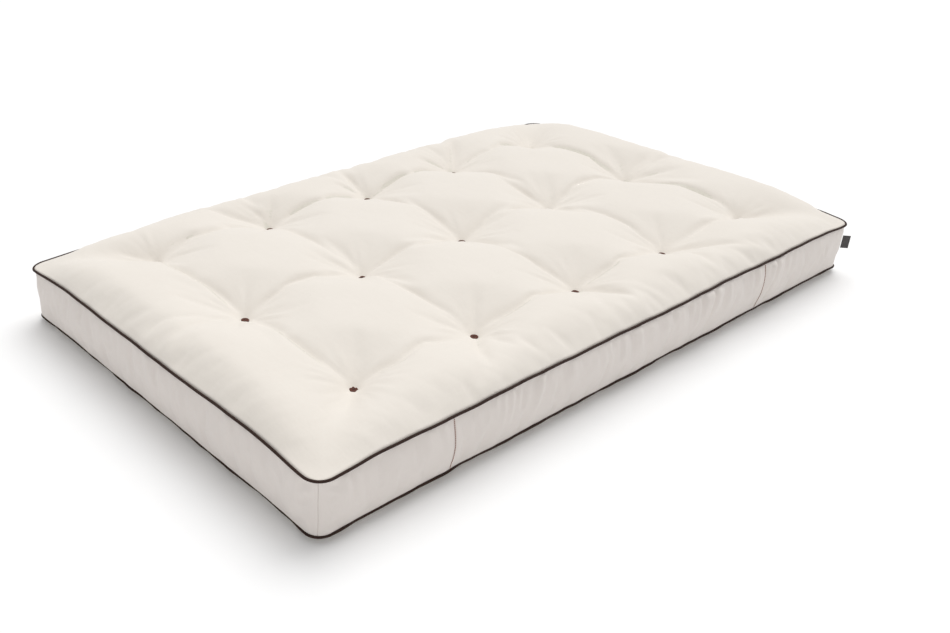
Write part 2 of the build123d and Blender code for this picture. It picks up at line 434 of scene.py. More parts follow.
def settle(cut, sewn, faces, held, pressure, bending=1.0, frames=26, pull=14, cap=0.09):
    """Runs the cloth from its flat cut to its sewn place, and returns the settled points."""
    obj = mesh_object("settling", cut, faces)
    obj.shape_key_add(name="cut")
    key = obj.shape_key_add(name="sewn")
    key.data.foreach_set("co", np.asarray(sewn, np.float32).ravel())
    for frame_number, value in ((1, 0.0), (pull, 1.0)):
        key.value = value
        key.keyframe_insert("value", frame=frame_number)
    pins = obj.vertex_groups.new(name="held")
    pins.add([int(i) for i in np.flatnonzero(held)], 1.0, "REPLACE")
    cloth = obj.modifiers.new("cloth", "CLOTH")
    feel = cloth.settings
    feel.vertex_group_mass = "held"
    feel.quality = 5
    feel.mass = 0.1
    feel.tension_stiffness = feel.compression_stiffness = 15
    feel.shear_stiffness = 5
    feel.bending_stiffness = bending
    feel.use_pressure = True
    feel.uniform_pressure_force = pressure
    feel.effector_weights.gravity = 0
    cloth.collision_settings.use_collision = False
    cloth.point_cache.frame_end = frames
    for frame_number in range(1, frames + 1):
        scene.frame_set(frame_number)
    ready = obj.evaluated_get(bpy.context.evaluated_depsgraph_get())
    settled = np.empty(len(cut) * 3, np.float32)
    ready.data.vertices.foreach_get("co", settled)
    action = obj.data.shape_keys.animation_data.action
    bpy.data.objects.remove(obj)
    bpy.data.actions.remove(action)
    scene.frame_set(1)
    moved = settled.reshape(-1, 3).astype(float) - sewn
    far = np.linalg.norm(moved, axis=1, keepdims=True)
    return sewn + moved * np.minimum(1, cap / np.maximum(far, 1e-9))


def sewn_cloth(name, points, faces, cut, material, rounds=1):
    """A finished piece of cloth: a UV map from its flat cut, a thickness and, if asked, a subdivision."""
    obj = mesh_object(name, points, faces)
    mesh = obj.data
    corner_points = np.empty(len(mesh.loops), np.int32)
    mesh.loops.foreach_get("vertex_index", corner_points)
    uv = mesh.uv_layers.new(name="UVMap")
    uv.data.foreach_set("uv", cut[corner_points].astype(np.float32).ravel())
    finished(obj, material)
    wall = obj.modifiers.new("wall", "SOLIDIFY")
    wall.thickness = CLOTH
    wall.offset = -1
    if rounds:
        round_off = obj.modifiers.new("round", "SUBSURF")
        round_off.levels = round_off.render_levels = rounds
    return obj


def smooth_step(share):
    """0 below 0, 1 above 1 and an easy curve between."""
    share = np.clip(share, 0, 1)
    return share * share * (3 - 2 * share)

# %% [markdown]
# ## The two cover panels
# Each panel is a grid of points. At the corners the grid is bent onto the rounded outline. The cut is a
# little larger than the sewn panel, more so in the middle than along the edges, where the machine has
# eased the cloth into the seam. That spare cloth becomes the domes and the folds between the tufts.

# %% Panel grid
PANEL_STEP = 0.010
SPARE = (0.047, 0.042)
EDGE_SPARE = 0.012
EASED = 0.30
EASE_REACH = 0.15
RISE_REACH = 0.20
CORNER_CALM = 0.50
CALM_REACH = 0.22
RISE_CALM = 0.85
RISE_CALM_REACH = 0.28


def panel_grid(step):
    """Plan points of a panel, with its corners rounded, and which of them lie on its rim."""
    columns = 2 * round(HALF_WIDTH / step) + 1
    rows = 2 * round(HALF_LENGTH / step) + 1
    along = np.linspace(-HALF_LENGTH, HALF_LENGTH, rows)
    across = np.linspace(-HALF_WIDTH, HALF_WIDTH, columns)
    x, y = (grid.ravel() for grid in np.meshgrid(along, across, indexing="ij"))
    rim = (np.abs(x) > HALF_LENGTH - 1e-6) | (np.abs(y) > HALF_WIDTH - 1e-6)
    a = np.clip((np.abs(x) - HALF_LENGTH + CORNER) / CORNER, 0, 1)
    b = np.clip((np.abs(y) - HALF_WIDTH + CORNER) / CORNER, 0, 1)
    both = (a > 0) & (b > 0)
    bent_x = np.sign(x) * (HALF_LENGTH - CORNER + CORNER * a * np.sqrt(1 - b * b / 2))
    bent_y = np.sign(y) * (HALF_WIDTH - CORNER + CORNER * b * np.sqrt(1 - a * a / 2))
    return np.where(both, bent_x, x), np.where(both, bent_y, y), rim, rows, columns


def nearest_tuft(x, y):
    """Distance and direction from the nearest tuft, and which tuft it is."""
    tuft_x, tuft_y = (grid.ravel() for grid in np.meshgrid(TUFT_X, TUFT_Y))
    away_x, away_y = x[..., None] - tuft_x, y[..., None] - tuft_y
    which = np.hypot(away_x, away_y).argmin(-1)
    pick = which[..., None]
    dx = np.take_along_axis(away_x, pick, -1)[..., 0]
    dy = np.take_along_axis(away_y, pick, -1)[..., 0]
    return np.hypot(dx, dy), np.arctan2(dy, dx), which


def summed(stretch, places, axis):
    """Adds up a local stretch along one axis of a grid, starting from the middle of the panel."""
    stretch, places = np.moveaxis(stretch, axis, 0), np.moveaxis(places, axis, 0)
    steps = (stretch[1:] + stretch[:-1]) / 2 * np.diff(places, axis=0)
    total = np.concatenate([np.zeros_like(places[:1]), np.cumsum(steps, axis=0)])
    return np.moveaxis(total - total[len(total) // 2], 0, axis)


def flat_cut(x, y, spare, edge_spare):
    """The panel as it was cut: larger all over, less so at its edges and hardly at its corners."""
    end_gap, side_gap = HALF_LENGTH - np.abs(x), HALF_WIDTH - np.abs(y)
    corner_gap = np.hypot(end_gap, side_gap)
    calm = 1 - CORNER_CALM * np.exp(-((corner_gap / CALM_REACH) ** 2))
    rise = edge_spare * (1 - RISE_CALM * np.exp(-((corner_gap / RISE_CALM_REACH) ** 2)))
    stretch_x = 1 + spare[0] * calm * (1 - EASED * smooth_step(1 - side_gap / EASE_REACH))
    stretch_y = 1 + spare[1] * calm * (1 - EASED * smooth_step(1 - end_gap / EASE_REACH))
    rise_x = np.sign(x) * rise * smooth_step(1 - end_gap / RISE_REACH)
    rise_y = np.sign(y) * rise * smooth_step(1 - side_gap / RISE_REACH)
    return summed(stretch_x, x, 0) + rise_x, summed(stretch_y, y, 1) + rise_y


def relaxed(grid, free, rounds, share):
    """Averages each free point with its four neighbours, which softens folds sharper than the grid."""
    grid = grid.copy()
    for _ in range(rounds):
        around = (grid[2:, 1:-1] + grid[:-2, 1:-1] + grid[1:-1, 2:] + grid[1:-1, :-2]) / 4
        grid[1:-1, 1:-1] += (free * share)[1:-1, 1:-1, None] * (around - grid[1:-1, 1:-1])
    return grid


def between(grid, count, axis):
    """The same smooth sheet with another number of points along one axis."""
    grid = np.moveaxis(grid, axis, 0)
    last = len(grid) - 1
    place = np.linspace(0, last, count)
    low = np.minimum(place.astype(int), last - 1)
    t = (place - low).reshape(-1, *[1] * (grid.ndim - 1))
    before, first, second, after = (grid[np.clip(low + k, 0, last)] for k in (-1, 0, 1, 2))
    bend = (2 * before - 5 * first + 4 * second - after) * t
    bend = bend + (3 * (first - second) + after - before) * t * t
    return np.moveaxis(first + 0.5 * t * (second - before + bend), 0, axis)


def settled_panel(step, at_top, spare, edge_spare, pressure):
    """Sews one panel down and returns its points, its flat cut and its grid."""
    x, y, rim, rows, columns = panel_grid(step)
    seat = nearest_tuft(x, y)[0] < BUTTON_RADIUS
    seam, floor, out = (TOP_SEAM, SEAT_TOP, 1) if at_top else (BOTTOM_SEAM, SEAT_BOTTOM, -1)
    shape = (rows, columns)
    cut_x, cut_y = (g.ravel() for g in flat_cut(x.reshape(shape), y.reshape(shape), spare, edge_spare))
    level = np.full_like(x, seam + out * 0.5 * abs(seam - floor) + out * 0.02)
    cut = np.stack([cut_x, cut_y, level], -1)
    sewn = np.stack([x, y, level], -1)
    sewn[seat, 2] = floor
    sewn[rim] = edge_line(x[rim], y[rim], at_top, RIM_INSET)
    sewn[rim, 2] += out * RIM_LIFT
    faces = grid_faces(rows, columns, upward=at_top)
    points = settle(cut, sewn, faces, rim | seat, pressure)
    free = (~(rim | seat)).reshape(shape).astype(float)
    sheet = relaxed(points.reshape(*shape, 3), free, 3, 0.45)
    return sheet, cut[:, :2].reshape(*shape, 2), free


# %% Plump the filling and let it settle round the tufts
SHOULDER = 0.35
SHOULDER_REACH = 0.055
CORNER_FILL, CORNER_SPOT, CORNER_FILL_REACH = 0.009, (0.13, 0.11), 0.11
MARGIN_FILL, MARGIN_MIDDLE, MARGIN_REACH = 0.004, 0.08, 0.05
FAN_DEPTH, FAN_MIDDLE, FAN_REACH, FAN_FOLDS = 0.0008, 0.065, 0.04, (11, 17, 23)
GATHER_DEPTH, GATHER_REACH, GATHER_LONGEST = 0.0032, 0.075, 0.15
LIMIT_FROM, LIMIT_ROOM = TOP_SEAM + CROWN - 0.008, 0.0085


def plumped(sheet):
    """Adds shoulders and fans of folds round the tufts, filled corners and margins, and edge gathers."""
    x, y, z = sheet[..., 0], sheet[..., 1], sheet[..., 2].copy()
    gap, angle, which = nearest_tuft(x, y)
    end_gap, side_gap = HALF_LENGTH - np.abs(x), HALF_WIDTH - np.abs(y)
    inside = smooth_step(np.minimum(end_gap, side_gap) / 0.05)
    shoulder = SHOULDER * np.exp(-((gap / SHOULDER_REACH) ** 2))
    shoulder = shoulder * (1 - np.exp(-((gap / BUTTON_RADIUS) ** 4)))
    z += np.maximum(z - SEAT_TOP, 0) * shoulder
    corner_gap = np.hypot(end_gap - CORNER_SPOT[0], side_gap - CORNER_SPOT[1])
    z += CORNER_FILL * inside * np.exp(-((corner_gap / CORNER_FILL_REACH) ** 2))
    edge_gap = np.minimum(end_gap, side_gap)
    z += MARGIN_FILL * inside * np.exp(-(((edge_gap - MARGIN_MIDDLE) / MARGIN_REACH) ** 2))
    along = np.where(side_gap < end_gap, x + 0.5 * side_gap, y + 0.5 * end_gap)
    one_side = smooth_step(np.abs(end_gap - side_gap) / 0.08)
    gathers = waves(along, 0 * along, 33, GATHER_LONGEST) * np.exp(-((edge_gap / GATHER_REACH) ** 2))
    z += GATHER_DEPTH * one_side * inside * gathers
    dice = np.random.default_rng(31)
    phase = dice.uniform(0, 2 * np.pi, (TUFT_COLUMNS * TUFT_ROWS, 3))[which]
    fan = sum(np.sin(folds * angle + phase[..., k]) for k, folds in enumerate(FAN_FOLDS))
    z += FAN_DEPTH * fan * np.exp(-(((gap - FAN_MIDDLE) / FAN_REACH) ** 2))
    over_limit = np.maximum(z - LIMIT_FROM, 0)
    z += LIMIT_ROOM * (1 - np.exp(-over_limit / LIMIT_ROOM)) - over_limit
    return np.stack([x, y, z], -1)


# %% Top panel
TOP_ROWS, TOP_COLUMNS = 281, 169
top_sheet, top_cut, top_free = settled_panel(PANEL_STEP, True, SPARE, EDGE_SPARE, 7.0)
corner_hold = np.hypot(
    HALF_LENGTH - 0.12 - np.abs(top_sheet[..., 0]), HALF_WIDTH - 0.10 - np.abs(top_sheet[..., 1])
)
top_sheet = relaxed(top_sheet, top_free * np.exp(-((corner_hold / 0.12) ** 2)), 30, 0.6)
top_sheet = plumped(between(between(top_sheet, TOP_ROWS, 0), TOP_COLUMNS, 1))
top_cut = between(between(top_cut, TOP_ROWS, 0), TOP_COLUMNS, 1).reshape(-1, 2)
top_faces = grid_faces(TOP_ROWS, TOP_COLUMNS)
top_panel = sewn_cloth("top_cover_panel", top_sheet.reshape(-1, 3), top_faces, top_cut, COVER, rounds=0)
print("top panel", TOP_ROWS * TOP_COLUMNS, "points, highest at", round(top_sheet[..., 2].max(), 4))

# %% [markdown]
# ## Bottom panel
# The underside carries the weight, so it is pressed nearly flat and its tufts are shallow. It comes from
# the same function with a coarser grid and less spare cloth, and nothing of it may sink below z = 0.

# %% Bottom panel
BOTTOM_STEP = 0.0145
BOTTOM_SPARE = (0.012, 0.012)
bottom_sheet, bottom_cut, _ = settled_panel(BOTTOM_STEP, False, BOTTOM_SPARE, 0.002, 3.0)
FLOOR_EASE = 0.004
height = bottom_sheet[..., 2]
bottom_sheet[..., 2] = np.where(
    height < FLOOR_EASE, FLOOR_EASE * np.exp(np.minimum(height - FLOOR_EASE, 0) / FLOOR_EASE), height
)
tuft_gap = nearest_tuft(bottom_sheet[..., 0], bottom_sheet[..., 1])[0]
pressed = np.exp(-((tuft_gap / (BUTTON_RADIUS + 0.005)) ** 6))
bottom_sheet[..., 2] += (SEAT_BOTTOM - bottom_sheet[..., 2]) * pressed
bottom_cut = bottom_cut.reshape(-1, 2)
bottom_faces = grid_faces(*bottom_sheet.shape[:2], upward=False)
bottom_panel = sewn_cloth("bottom_cover_panel", bottom_sheet.reshape(-1, 3), bottom_faces, bottom_cut, COVER)
print("bottom panel lowest at", round(bottom_sheet[..., 2].min(), 4))

# %% [markdown]
# ## The boxing
# Boxing is the upright band between the two pipings. On the real cover it is eight strips sewn end to
# end. It is simulated here as one closed ring, held at both rims, because the strips pull on each other,
# and it is then divided at its seams. Puckers hang from the upper seam, where the sewing has gathered it.
# Each seam is a narrow valley between two soft ridges, and the band comes out a little to the label.

# %% The outline as a line to walk along
CORNER_ARCS = ((-1, -1, 225, 270), (1, -1, 270, 360), (1, 1, 0, 90), (-1, 1, 90, 180), (-1, -1, 180, 225))


def outline_path():
    """The rounded outline from the middle of the front left corner, anticlockwise, as dense plan points."""
    path = []
    for side_x, side_y, start, stop in CORNER_ARCS:
        angle = np.radians(np.linspace(start, stop, 25))
        x = side_x * (HALF_LENGTH - CORNER) + CORNER * np.cos(angle)
        y = side_y * (HALF_WIDTH - CORNER) + CORNER * np.sin(angle)
        path.append(np.stack([x, y], -1))
    return np.concatenate(path)


OUTLINE = outline_path()
WALKED = np.concatenate([[0], np.cumsum(np.linalg.norm(np.diff(OUTLINE, axis=0), axis=1))])
ROUND = WALKED[-1]
HALF_ARC = CORNER * math.pi / 4


def on_outline(s):
    """Plan x and y at distances s along the outline."""
    s = np.mod(s, ROUND)
    return np.interp(s, WALKED, OUTLINE[:, 0]), np.interp(s, WALKED, OUTLINE[:, 1])


FRONT = HALF_ARC + HALF_LENGTH - CORNER
QUARTER = ROUND / 2 - 2 * (HALF_WIDTH - CORNER) - 2 * HALF_ARC
SEAMS = {
    "boxing_front_left": 0.0,
    "boxing_front_middle": FRONT + SEAM_LEFT,
    "boxing_front_right": FRONT + SEAM_RIGHT,
    "boxing_right_end": QUARTER,
    "boxing_back_right": ROUND / 2,
    "boxing_back_middle": ROUND / 2 + FRONT + SEAM_LEFT,
    "boxing_back_left": ROUND / 2 + FRONT + SEAM_RIGHT,
    "boxing_left_end": ROUND / 2 + QUARTER,
}
STRIPS = list(SEAMS)
STRIP_START = np.array(list(SEAMS.values()))
STRIP_STOP = np.append(STRIP_START[1:], ROUND)
print("strip lengths", (STRIP_STOP - STRIP_START).round(3))

# %% Settle the boxing ring
BOXING_STEP = 0.0075
BOXING_ROWS = 19
BOXING_SPARE = 1.014
BOXING_TALLER = 1.026
strip_columns = np.maximum(4, np.round((STRIP_STOP - STRIP_START) / BOXING_STEP)).astype(int)
ring_s = np.concatenate([
    np.linspace(start, stop, count, endpoint=False)
    for start, stop, count in zip(STRIP_START, STRIP_STOP, strip_columns)
])
RING = len(ring_s)


def ring_points(stretch, taller):
    """Rows of points from the lower seam to the upper one, round the whole outline."""
    x, y = on_outline(ring_s)
    low = edge_line(x, y, False, RIM_INSET)
    high = edge_line(x, y, True, RIM_INSET)
    low[:, 2] += RIM_LIFT
    high[:, 2] -= RIM_LIFT
    up = np.linspace(0, 1, BOXING_ROWS)[:, None, None]
    points = low * (1 - up) + high * up
    centre = (low[:, 2] + high[:, 2]) / 2
    points[:, :, :2] *= stretch
    points[:, :, 2] = centre + (points[:, :, 2] - centre) * taller
    return points


def ring_faces():
    """Quads of the closed ring, facing outwards."""
    faces = []
    for r in range(BOXING_ROWS - 1):
        for c in range(RING):
            d = (c + 1) % RING
            faces.append((r * RING + c, r * RING + d, (r + 1) * RING + d, (r + 1) * RING + c))
    return faces


ring_sewn = ring_points(1.0, 1.0)
ring_cut = ring_points(BOXING_SPARE, BOXING_TALLER)
ring_held = np.zeros((BOXING_ROWS, RING), bool)
ring_held[[0, -1]] = True
settled_ring = settle(
    ring_cut.reshape(-1, 3), ring_sewn.reshape(-1, 3), ring_faces(), ring_held.ravel(), 4.0, cap=0.02
).reshape(BOXING_ROWS, RING, 3)
print("boxing ring of", RING, "columns")

# %% Puckers, seam valleys and room for the label
PUCKER = 0.0090
LOWER_PUCKER = PUCKER * 0.2
LONG_CREASE, BELLY_WANDER = 0.0022, 0.0012
SEAM_CALM = 0.022
LIMIT_EASE = 0.002
SEAM_VALLEY = 0.0016
BULGE_LIMIT = 0.015
DEEPEST = -0.0060
LABEL_LIMIT = 0.0018
LABEL_REACH = 0.075
TAB_ROOT = -0.0001
TAB_PULL = 0.016
TAB_X = HALF_LENGTH - CORNER + CORNER / math.sqrt(2)
TAB_Y = -HALF_WIDTH + CORNER - CORNER / math.sqrt(2)
label_low, label_high = box("label_tab")


def seam_gap(s):
    """Signed distance along the ring to the nearest seam."""
    gaps = (s[:, None] - STRIP_START + ROUND / 2) % ROUND - ROUND / 2
    return gaps[np.arange(len(s)), np.abs(gaps).argmin(axis=1)]


def line_waves(s, seed, shortest, longest, count=14):
    """A wander along the ring, of many wavelengths that all close on themselves."""
    dice = np.random.default_rng(seed)
    total = np.zeros_like(s)
    for _ in range(count):
        turns = round(ROUND / dice.uniform(shortest, longest))
        total += np.sin(2 * np.pi * turns * s / ROUND + dice.uniform(0, 2 * np.pi))
    return total / math.sqrt(count / 2)


def dressed_ring(points):
    """Adds what the coarse grid can't find, and keeps the band inside its limits."""
    x, y = on_outline(ring_s)
    nx, ny = outward(x, y)
    up = np.linspace(0, 1, BOXING_ROWS)[:, None]
    belly = np.sin(np.pi * up)
    long_side = smooth_step((np.abs(ny) - 0.3) / 0.4)
    hang = np.minimum(1, (1 - up) / 0.09) * np.clip((up - 0.25) / 0.75, 0, 1)
    lift = np.minimum(1, up / 0.12) * np.clip((0.7 - up) / 0.7, 0, 1) ** 1.5
    slanted = ring_s + 0.03 * line_waves(ring_s, 24, 0.3, 1.2) * (1 - up)
    creases = np.abs(line_waves(slanted, 21, 0.07, 0.13)) + 0.6 * np.abs(line_waves(slanted, 25, 0.04, 0.07))
    pulled = 0.75 + 0.35 * line_waves(ring_s, 27, 0.3, 0.9)
    push = PUCKER * pulled * (0.45 + 0.55 * long_side) * hang * (creases - 1.0)
    push = push + LOWER_PUCKER * lift * line_waves(ring_s, 22, 0.05, 0.12)
    long_creases = np.abs(line_waves(slanted, 26, 0.25, 0.6)) ** 0.7
    push = push + LONG_CREASE * belly * (long_creases - 0.8)
    push = push + BELLY_WANDER * belly * line_waves(ring_s, 23, 0.12, 0.5)
    gap = seam_gap(ring_s)
    push = push * (1 - np.exp(-((gap / SEAM_CALM) ** 2)))
    valley = np.exp(-((gap / 0.005) ** 2)) - 0.35 * np.exp(-(((np.abs(gap) - 0.013) / 0.007) ** 2))
    push = push - SEAM_VALLEY * valley * np.minimum(1, belly * 2.2)
    flat = (points[:, :, 0] - x) * nx + (points[:, :, 1] - y) * ny
    out = flat + push
    away = np.hypot(x - HALF_LENGTH + CORNER, y + HALF_WIDTH - CORNER)
    near_label = 1 - smooth_step((away - CORNER * 1.2) / LABEL_REACH)
    limit = BULGE_LIMIT + (LABEL_LIMIT - BULGE_LIMIT) * near_label
    soft = limit - LIMIT_EASE
    eased = limit - LIMIT_EASE * np.exp(-(np.maximum(out, soft) - soft) / LIMIT_EASE)
    out = np.where(out > soft, eased, out)
    beyond_tab = np.maximum(np.maximum(label_low[2] - points[:, :, 2], points[:, :, 2] - label_high[2]), 0)
    sewn_in = np.exp(-((np.hypot(x - TAB_X, y - TAB_Y) / TAB_PULL) ** 2) - (beyond_tab / TAB_PULL) ** 2)
    out = np.maximum(out, DEEPEST + (TAB_ROOT - DEEPEST) * sewn_in)
    moved = points.copy()
    moved[:, :, 0] += nx * (out - flat)
    moved[:, :, 1] += ny * (out - flat)
    return moved


boxing_ring = dressed_ring(settled_ring)
bellied = np.abs(boxing_ring[:, :, :2]).reshape(-1, 2).max(axis=0)
print("boxing reaches", bellied.round(4))

# %% Divide the ring into its eight strips
ALLOWANCE = 0.007
TURN = 0.0014


def turned_in(column, place):
    """Two more columns beyond a strip's end, turned inwards as a seam allowance."""
    nx, ny = outward(*on_outline(ring_s[place : place + 1]))
    inwards = -np.array([nx[0], ny[0], 0.0])
    return [column + inwards * TURN, column + inwards * ALLOWANCE]


def strip_of(name, first, count):
    """One sewn strip of the ring, from one seam to the next."""
    picked = np.arange(first, first + count + 1) % RING
    points = boxing_ring[:, picked]
    before = turned_in(points[:, :1], picked[0])[::-1]
    after = turned_in(points[:, -1:], picked[-1])
    points = np.concatenate([*before, points, *after], axis=1)
    width = count * BOXING_STEP * BOXING_SPARE
    steps = np.linspace(0, width, count + 1)
    along = np.concatenate([[-ALLOWANCE, -TURN], steps, [width + TURN, width + ALLOWANCE]])
    up = np.linspace(0, (TOP_SEAM - BOTTOM_SEAM) * BOXING_TALLER, BOXING_ROWS)
    cut = np.stack(np.meshgrid(along, up), -1).reshape(-1, 2)
    faces = grid_faces(BOXING_ROWS, len(along), upward=False)
    strip = sewn_cloth(name.replace("boxing", "boxing_strip"), points.reshape(-1, 3), faces, cut, BOXING)
    return strip, (float(along[-1] - along[0]), float(up[-1]))


strips, strip_cuts = {}, {}
first = 0
for name, count in zip(STRIPS, strip_columns):
    strips[name], strip_cuts[name] = strip_of(name, first, int(count))
    first += int(count)
print("strips made:", len(strips))

# %% [markdown]
# ## Piping
# Piping is a bias strip folded round a thin cord, with its raw edges sewn between the panel and the
# boxing. Seen from the end it is a keyhole: a ring with two flat tails. That outline is swept along the
# wandering seam line. The filler inside is a twisted cord that follows the same line.

# %% Sweep an outline round the mattress
def sweep_ring(name, profile_at, steps, at_top, material, around):
    """A closed tube round the outline; profile_at gives (out, up) points at a distance along it."""
    s = np.linspace(0, ROUND, steps, endpoint=False)
    x, y = on_outline(s)
    line = edge_line(x, y, at_top)
    nx, ny = outward(x, y)
    rows = []
    for i in range(steps):
        out, up = profile_at(s[i])
        rows.append(np.stack([line[i, 0] + nx[i] * out, line[i, 1] + ny[i] * out, line[i, 2] + up], -1))
    points = np.concatenate(rows)
    n = len(rows[0])
    faces = []
    for i in range(steps):
        j = (i + 1) % steps
        for k in range(n):
            m = (k + 1) % n
            faces.append((i * n + k, i * n + m, j * n + m, j * n + k))
    obj = mesh_object(name, points, faces)
    mesh = obj.data
    run = [(i * ROUND / steps, (i + 1) * ROUND / steps) for i in range(steps)]
    turn = np.arange(n + 1) * around / n
    uv = mesh.uv_layers.new(name="UVMap")
    square = ((0, 0), (0, 1), (1, 1), (1, 0))
    corners = [(run[i][a], turn[k + b]) for i in range(steps) for k in range(n) for a, b in square]
    uv.data.foreach_set("uv", np.array(corners, np.float32).ravel())
    return finished(obj, material)


SLEEVE_WALL = 0.0012
ARC_POINTS = 20


def keyhole():
    """Half section of the sleeve as (out, up): round the ring, along the tails and back inside."""
    angle = np.linspace(math.radians(168), math.radians(-168), ARC_POINTS)
    outer = np.stack([np.cos(angle), np.sin(angle)]) * PIPING_RADIUS
    inner = np.stack([np.cos(angle[::-1]), np.sin(angle[::-1])]) * (PIPING_RADIUS - SLEEVE_WALL)
    tip = -PIPING_RADIUS - FLANGE
    tail = np.array([[tip, tip, tip, tip], [-0.0006, -0.0002, 0.0002, 0.0006]])
    return np.concatenate([outer, tail[:, :2], inner, tail[:, 2:]], axis=1)


KEYHOLE = keyhole()
PIPING_STEPS = 900
SLEEVE_AROUND, FILLER_AROUND = 0.05, 0.01
LEVELS = (("top", True), ("bottom", False))
sleeves, fillers = {}, {}
for level, at_top in LEVELS:
    name = f"{level}_piping_cloth"
    sleeves[level] = sweep_ring(name, lambda s: KEYHOLE, PIPING_STEPS, at_top, PIPING, SLEEVE_AROUND)
print("piping sleeves of", len(sleeves["top"].data.polygons), "faces each")

# %% Twisted filler cords
FILLER_RADIUS = 0.0015
FILLER_TURNS = 420
FILLER_STEPS = 2100


def three_ply(s):
    """Section of a three ply cord, turned further the further along it is."""
    angle = np.linspace(0, -2 * np.pi, 12, endpoint=False)
    radius = FILLER_RADIUS * (0.86 + 0.14 * np.cos(3 * (angle - 2 * np.pi * FILLER_TURNS / 3 * s / ROUND)))
    return radius * np.cos(angle), radius * np.sin(angle)


for level, at_top in LEVELS:
    name = f"{level}_piping_core"
    fillers[level] = sweep_ring(name, three_ply, FILLER_STEPS, at_top, FILLER, FILLER_AROUND)
print("filler cords of", len(fillers["top"].data.polygons), "faces each")

# %% [markdown]
# ## Stitches along the seams
# A seam shows as a row of short thread stitches at the bottom of its valley. Their reddish brown is partly
# the thread's own colour and partly painted shade, standing in for the warm shade inside the seam's slit. A
# row of
# anything is work for Geometry Nodes: a line is cut into even steps, one stitch is placed on each step, and
# the stitches are made real and given their thread. The tree has named inputs, so a learner can try other
# sizes.

# %% A tree that lays a row of stitches
def new_tree(name, inputs):
    """An empty geometry tree with one geometry input, the given named inputs and a geometry output."""
    tree = bpy.data.node_groups.new(name, "GeometryNodeTree")
    face = tree.interface
    face.new_socket("Geometry", in_out="INPUT", socket_type="NodeSocketGeometry")
    for label, kind in inputs:
        face.new_socket(label, in_out="INPUT", socket_type=kind)
    face.new_socket("Geometry", in_out="OUTPUT", socket_type="NodeSocketGeometry")
    return tree, tree.nodes.new("NodeGroupInput"), tree.nodes.new("NodeGroupOutput")


def add(tree, kind, settings=None, links=None):
    """A node whose sockets are filled with values or linked to other sockets."""
    made = tree.nodes.new(kind)
    for name, value in (settings or {}).items():
        setattr(made, name, value)
    for name, value in (links or {}).items():
        if isinstance(value, bpy.types.NodeSocket):
            tree.links.new(value, made.inputs[name])
        else:
            made.inputs[name].default_value = value
    return made.outputs


def run_tree(obj, tree, values):
    """Runs a tree on an object, and returns the result as a plain mesh object of the same name."""
    modifier = obj.modifiers.new("pattern", "NODES")
    modifier.node_group = tree
    for item in tree.interface.items_tree:
        if item.in_out == "INPUT" and item.name in values:
            modifier[item.identifier] = values[item.name]
    ready = obj.evaluated_get(bpy.context.evaluated_depsgraph_get())
    mesh = bpy.data.meshes.new_from_object(ready)
    name = obj.name
    bpy.data.objects.remove(obj)
    made = bpy.data.objects.new(name, mesh)
    scene.collection.objects.link(made)
    return made


def stitch_tree():
    """A row of stitches: each is a short bar with rounded ends that lies along the line."""
    tree, inside, outside = new_tree("stitch row", [
        ("Pitch", "NodeSocketFloat"), ("Length", "NodeSocketFloat"), ("Thickness", "NodeSocketFloat"),
        ("Thread", "NodeSocketMaterial"),
    ])
    line = add(tree, "GeometryNodeMeshToCurve", None, {"Mesh": inside.outputs["Geometry"]})["Curve"]
    pitch = {"Curve": line, "Length": inside.outputs["Pitch"]}
    spaced = add(tree, "GeometryNodeResampleCurve", {"mode": "LENGTH"}, pitch)
    tangent = add(tree, "GeometryNodeInputTangent")["Tangent"]
    turn = add(tree, "FunctionNodeAlignRotationToVector", {"axis": "Z"}, {"Vector": tangent})["Rotation"]
    ball = add(tree, "GeometryNodeMeshUVSphere", None, {"Segments": 8, "Rings": 6, "Radius": 0.5})
    size = add(tree, "ShaderNodeCombineXYZ", None, {
        "X": inside.outputs["Thickness"], "Y": inside.outputs["Thickness"], "Z": inside.outputs["Length"],
    })["Vector"]
    bar = add(tree, "GeometryNodeTransform", None, {"Geometry": ball["Mesh"], "Scale": size})["Geometry"]
    row = add(tree, "GeometryNodeInstanceOnPoints", None, {
        "Points": spaced["Curve"], "Instance": bar, "Rotation": turn,
    })["Instances"]
    real = add(tree, "GeometryNodeRealizeInstances", None, {"Geometry": row})["Geometry"]
    finish = {"Geometry": real, "Material": inside.outputs["Thread"]}
    done = add(tree, "GeometryNodeSetMaterial", None, finish)
    tree.links.new(done["Geometry"], outside.inputs["Geometry"])
    return tree


STITCH_ROW = stitch_tree()
STITCH_OUT = 0.0009
STITCHES = {"Pitch": 0.0042, "Length": 0.0039, "Thickness": 0.0015, "Thread": SEAM_THREAD_AND_SHADE}


def line_object(name, points):
    """A mesh of edges only, for a tree to follow."""
    obj = mesh_object(name, points, [])
    obj.data.clear_geometry()
    obj.data.from_pydata([tuple(p) for p in points], [(i, i + 1) for i in range(len(points) - 1)], [])
    return obj


def seam_row(name, strip_name):
    """The stitches of the seam where a strip starts."""
    column = int(np.sum(strip_columns[: STRIPS.index(strip_name)]))
    path = boxing_ring[1:-1, column].copy()
    x, y = on_outline(ring_s[column : column + 1])
    nx, ny = outward(x, y)
    path[:, 0] += nx[0] * STITCH_OUT
    path[:, 1] += ny[0] * STITCH_OUT
    return run_tree(line_object(name, path), STITCH_ROW, STITCHES)


seam_rows = {
    "seam_trim_front_left": seam_row("seam_stitches_front_left", "boxing_front_middle"),
    "seam_trim_front_right": seam_row("seam_stitches_front_right", "boxing_front_right"),
    "seam_trim_back_right": seam_row("seam_stitches_back_right", "boxing_back_middle"),
    "seam_trim_back_left": seam_row("seam_stitches_back_left", "boxing_back_left"),
}
print("stitches on one seam:", len(seam_rows["seam_trim_front_left"].data.polygons) // 48)

